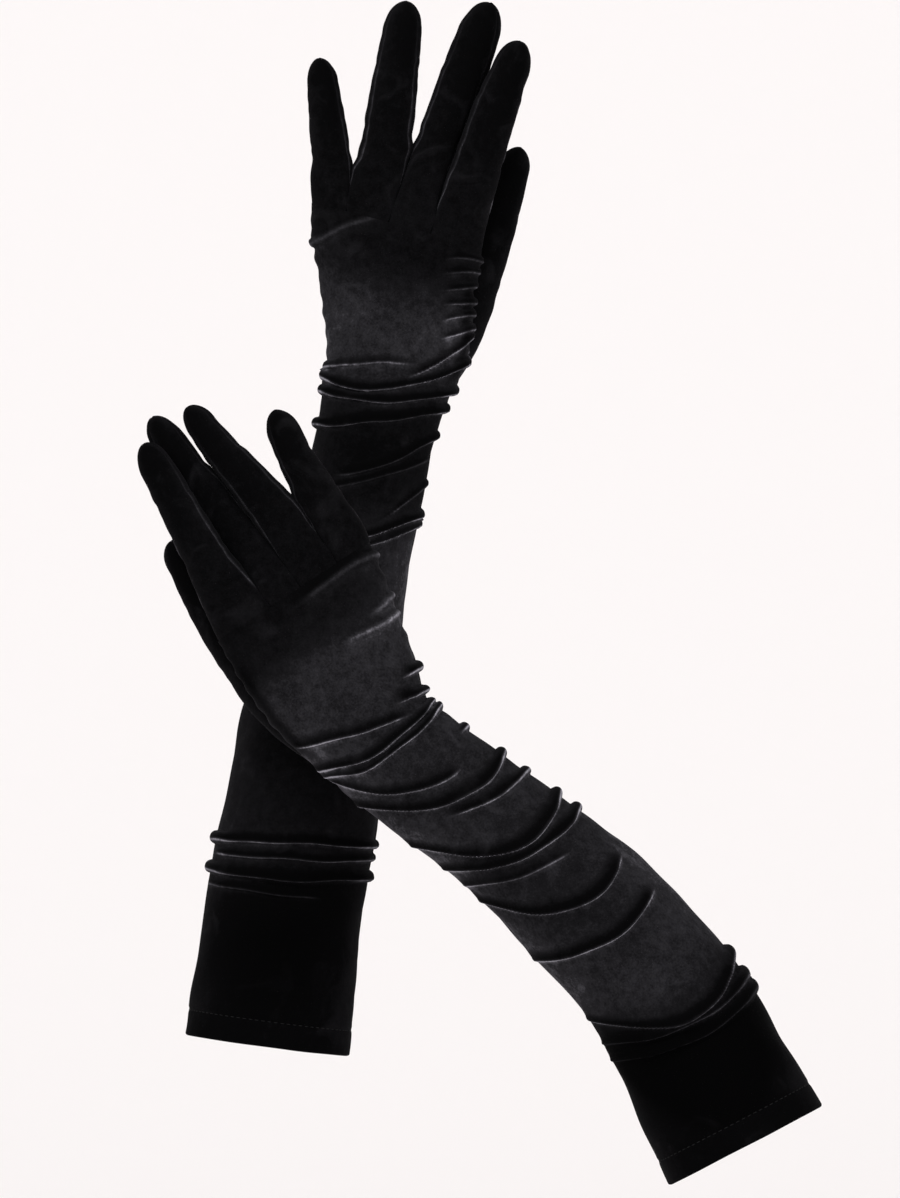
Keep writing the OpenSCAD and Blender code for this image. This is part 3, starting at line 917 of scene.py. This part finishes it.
def finger_surface(glove, finger):
    """A finger's tube in the hand's frame: its share of the knuckles turns into a round finger."""
    rows = FINGER[glove.side][finger]
    tip_u, tip_w = rows[-1][0], rows[-1][3]
    open_side = {"index": 1, "little": -1}.get(finger, 0)
    first = np.array(rows[0])
    path = [(KNUCKLES + up, first[1], 0, first[3], first[4]) for up in (-1, 4)] + rows
    (top, bottom), _ = side_bounds(glove, finger, KNUCKLES, 0, 0)
    place = FINGERS.index(finger)
    parted = max(gap[1] for gap in PARTINGS[glove.side][max(0, place - 1):place + 1])
    start_centre, start_half = (top + bottom) / 2, (top - bottom) / 2
    a = np.radians(FINGER_ANGLES)
    reach = TIP_REACH * tip_w
    us = np.concatenate([np.arange(KNUCKLES, tip_u, 1.1), tip_u + reach * np.sin(np.radians(CAP))])
    result = []
    for u in us:
        at = min(u, tip_u)
        axis, y, half_w, half_d = through(path, at)[0]
        (top, bottom), (top_round, bottom_round) = side_bounds(glove, finger, at, axis, half_w)
        centre, half = (top + bottom) / 2, (top - bottom) / 2
        toward = smooth((np.cos(a) + 1) / 2)
        roundness = top_round * toward + bottom_round * (1 - toward)
        ring = np.stack([half * np.cos(a), half_d * np.sin(a)])
        if roundness.min() < 1:
            corner = 22 * (1 - smooth((at - KNUCKLES) / 16)) ** 2 + 5
            across, depth = knuckle_slice(glove, start_centre, start_half, open_side, corner)
            ring = ring * roundness + np.stack([across * half, depth]) * (1 - roundness)
        low, high = max(at - 2, KNUCKLES), min(at + 2, tip_u)
        step = through(path, high)[0] - through(path, low)[0]
        axes = limb_axes(step[:2] / (high - low) * smooth((at - parted) / 18))
        middle = np.array([at, centre, y * smooth((at - KNUCKLES) / 16)])
        result.append(limb_ring(middle, ring, axes, u - tip_u, reach))
    return close_tip(result, axes[0]), us


def close_tip(rings, heading):
    """The rings of a finger as a grid, ended in one point."""
    rings = np.array(rings)
    tip = rings[-1].mean(axis=0) + heading * 0.1
    return np.concatenate([rings, np.broadcast_to(tip, (1,) + rings[-1].shape)])


def finger_relief(glove, finger, grid, us, seams):
    """Seam grooves along the finger and small creases at its knuckles."""
    world = glove.hand_point(grid[..., 0], grid[..., 1], grid[..., 2])
    normals = grid_normals(world, closed=True) * glove.sign
    u = np.append(us, us[-1])[:, None]
    a = FINGER_ANGLES[None, :]
    root = THUMB[glove.side][1][0] if finger == "thumb" else KNUCKLES
    length = us[-1] - root
    radius = 9
    bumpy = waves(len(finger) + 5 * glove.sign + 40, 9, 30, 8)(u + 0 * a, np.radians(a) * radius + 0 * u)
    out = 0.16 * bumpy
    along_seam = smooth((u - root - 10) / 14)
    for seam in seams:
        from_seam = np.radians(degrees_from(a, seam)) * radius
        out = out - 0.5 * along_seam * bell(from_seam, 0.8)
        out = out + 0.14 * along_seam * bumpy * np.exp(-abs(from_seam) / 3)
    for share in (0.40, 0.70):
        q = (u - root - share * length) / 2.2
        crease = bell(q) - 0.5 * bell(q - 1.6, 1.3) - 0.4 * bell(q + 1.5, 1.2)
        out = out - 0.28 * crease
    out = out * smooth((u - root) / 8)
    out[-1] = 0
    return world + out[..., None] * normals


def column_range(first, last):
    """Columns of the finger grid from one angle to another, wrapping at 360."""
    step = FINGER_ANGLES[1]
    return [int(round(x / step)) % len(FINGER_ANGLES) for x in np.arange(first, last + step / 2, step)]


def finger_cuts(finger):
    """The angles each cut piece of a finger covers, by the node it stands for."""
    if finger == "thumb":
        return {"thumb_back": (180, 360), "thumb_front": (0, 180)}
    if finger == "index":
        return {"index_back": (212, 360), "index_palm": (0, 148), "index_fourchette": (148, 212)}
    if finger == "little":
        return {"little_back": (180, 328), "little_palm": (32, 180), "little_fourchette": (-32, 32)}
    return {
        finger + "_back": (212, 328), finger + "_palm": (32, 148),
        finger + "_outer_fourchette": (-32, 32), finger + "_inner_fourchette": (148, 212),
    }


def make_finger(glove, finger, grid, us):
    """Cuts a finger's tube into its panels."""
    cuts = finger_cuts(finger)
    seams = sorted({x % 360 for pair in cuts.values() for x in pair})
    world = finger_relief(glove, finger, grid, us, seams)
    share = smooth((np.append(us, us[-1]) - us[0]) / (us[-1] - us[0]))[:, None]
    # the finger's tone: a little darker towards the tip and changing round it
    tone_sheen_and_shade = 0.15 - 0.03 * share + 0.04 * np.sin(np.radians(FINGER_ANGLES) * 2 + 1)[None, :] * share
    # painted highlight: light lines along the finger's seams, fading towards the tip
    past_root = smooth((np.append(us, us[-1]) - us[0] - 5) / 10)[:, None]
    for seam in seams:
        painted_seam_highlight = bell(degrees_from(FINGER_ANGLES, seam), 4.5)[None, :]
        tone_sheen_and_shade = tone_sheen_and_shade + 0.42 * past_root * (1 - share) ** 0.5 * painted_seam_highlight
    for label, (first, last) in cuts.items():
        node = f"{glove.side}_{label}"
        columns = column_range(first, last)
        panel = world[:, columns]
        piece = cloth_piece("velvet_" + node, panel, tone_sheen_and_shade[:, columns], False, glove.sign, FINGER_CLOTH)
        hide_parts(node)
        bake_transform(piece)


def make_thumb(glove):
    """The thumb starts inside the hand and comes out through its side."""
    rows = THUMB[glove.side]
    tip_u, tip_w = rows[-1][0], rows[-1][3]
    reach = TIP_REACH * tip_w
    us = np.concatenate([np.arange(rows[0][0], tip_u, 1.3), tip_u + reach * np.sin(np.radians(CAP))])
    a = np.radians(FINGER_ANGLES)
    result = []
    for u in us:
        at = min(u, tip_u)
        v, y, half_w, half_d = through(rows, at)[0]
        low = max(at - 3, rows[0][0])
        axes = limb_axes((through(rows, at)[0] - through(rows, low)[0])[:2] / max(at - low, 1))
        ring = np.stack([half_w * np.cos(a), half_d * np.sin(a)])
        result.append(limb_ring(np.array([at, v, y]), ring, axes, u - tip_u, reach))
    make_finger(glove, "thumb", close_tip(result, axes[0]), us)


# -------- making the gloves

def make_glove(glove):
    elbow, wrist = glove.sleeve_length, glove.wrist_s
    elbow_low, elbow_high = elbow - ELBOW_REACH, elbow + ELBOW_REACH
    wrist_low, wrist_high = wrist - WRIST_REACH, wrist + WRIST_REACH
    hem = make_hem(glove)
    stitches = make_hem_stitches(glove)
    stretches = [
        ("upper", HEM_DEPTH, elbow_low, "under", [hem, stitches]),
        ("forearm", elbow_high, wrist_low, "under", []),
        ("hand", wrist_high, glove.knuckle_s, "palm", []),
    ]
    for part, first, last, inner_side, extras in stretches:
        extras = extras + [make_seams(glove, part, first + 1, last, part)]
        back, under = f"{part}_back", f"{part}_{inner_side}"
        arm_stretch(glove, first, last, part, back, under)
    gathered_stretch(glove, "elbow_gathers", elbow_low, elbow_high)
    gathered_stretch(glove, "wrist_gathers", wrist_low, wrist_high)
    for finger in FINGERS:
        grid, us = finger_surface(glove, finger)
        make_finger(glove, finger, grid, us)
    make_thumb(glove)


for one in GLOVES:
    make_glove(one)


# -------- stage, light and camera

def plain_material(name, colour, glow):
    """Matt paper with a little light of its own."""
    material = bpy.data.materials.new(name)
    material.use_nodes = True
    shader = material.node_tree.nodes["Principled BSDF"]
    shader.inputs["Base Color"].default_value = (*colour, 1)
    shader.inputs["Roughness"].default_value = 0.9
    shader.inputs["Emission Color"].default_value = (0.98, 0.985, 0.985, 1)
    shader.inputs["Emission Strength"].default_value = glow
    return material


def make_stage():
    """A plain pale floor that sweeps up into a backdrop."""
    below_gloves = 0.35
    low = CAD_BOX[0][2] - below_gloves
    back, front, side, top, bend = 6.5, -7.0, 9.0, 7.0, 2.0
    profile = [(front, low)]
    for degrees in range(0, 91, 6):
        t = math.radians(degrees)
        profile.append((back - bend + bend * math.sin(t), low + bend * (1 - math.cos(t))))
    profile.append((back, top))
    vertices = [(x, y, z) for y, z in profile for x in (-side, side)]
    faces = [(2 * i, 2 * i + 1, 2 * i + 3, 2 * i + 2) for i in range(len(profile) - 1)]
    mesh = bpy.data.meshes.new("backdrop")
    mesh.from_pydata(vertices, [], faces)
    mesh.shade_smooth()
    mesh.materials.append(plain_material("pale_paper", (0.747, 0.723, 0.724), 0.19))
    stage = bpy.data.objects.new("backdrop", mesh)
    bpy.context.scene.collection.objects.link(stage)


def area_light(name, place, target, size, power):
    lamp = bpy.data.lights.new(name, "AREA")
    lamp.size = size
    lamp.energy = power
    light = bpy.data.objects.new(name, lamp)
    light.location = place
    aim = np.array(target) - np.array(place)
    light.rotation_euler = (
        math.atan2(math.hypot(aim[0], aim[1]), -aim[2]),
        0,
        math.atan2(aim[0], -aim[1]) + math.pi,
    )
    bpy.context.scene.collection.objects.link(light)


def make_lights():
    centre = [(CAD_BOX[0][i] + CAD_BOX[1][i]) / 2 for i in range(3)]
    area_light("key", (-1.2, -2.2, 2.4), centre, 1.2, 95)
    area_light("fill", (1.6, -2.6, 0.6), centre, 1.8, 45)
    area_light("low", (0.0, -2.0, -0.9), centre, 1.4, 16)
    world = bpy.data.worlds.new("studio")
    world.use_nodes = True
    world.node_tree.nodes["Background"].inputs["Color"].default_value = (1.0, 0.98, 0.97, 1)
    world.node_tree.nodes["Background"].inputs["Strength"].default_value = 0.9
    bpy.context.scene.world = world


def make_camera():
    """Straight on, 4 m in front of the left glove, framing the pair as a 900 by 1198 picture."""
    camera = bpy.data.cameras.new("camera")
    distance = 4.0
    frame_height = 0.563
    middle_x, middle_z = 0.086, 0.2096
    camera.sensor_fit = "VERTICAL"
    camera.sensor_height = 24
    camera.lens = camera.sensor_height * distance / frame_height
    view = bpy.data.objects.new("camera", camera)
    view.location = (middle_x, -distance, middle_z)
    view.rotation_euler = (math.pi / 2, 0, 0)
    bpy.context.scene.collection.objects.link(view)
    bpy.context.scene.camera = view


make_stage()
make_lights()
make_camera()
bpy.context.scene.view_settings.view_transform = "Standard"
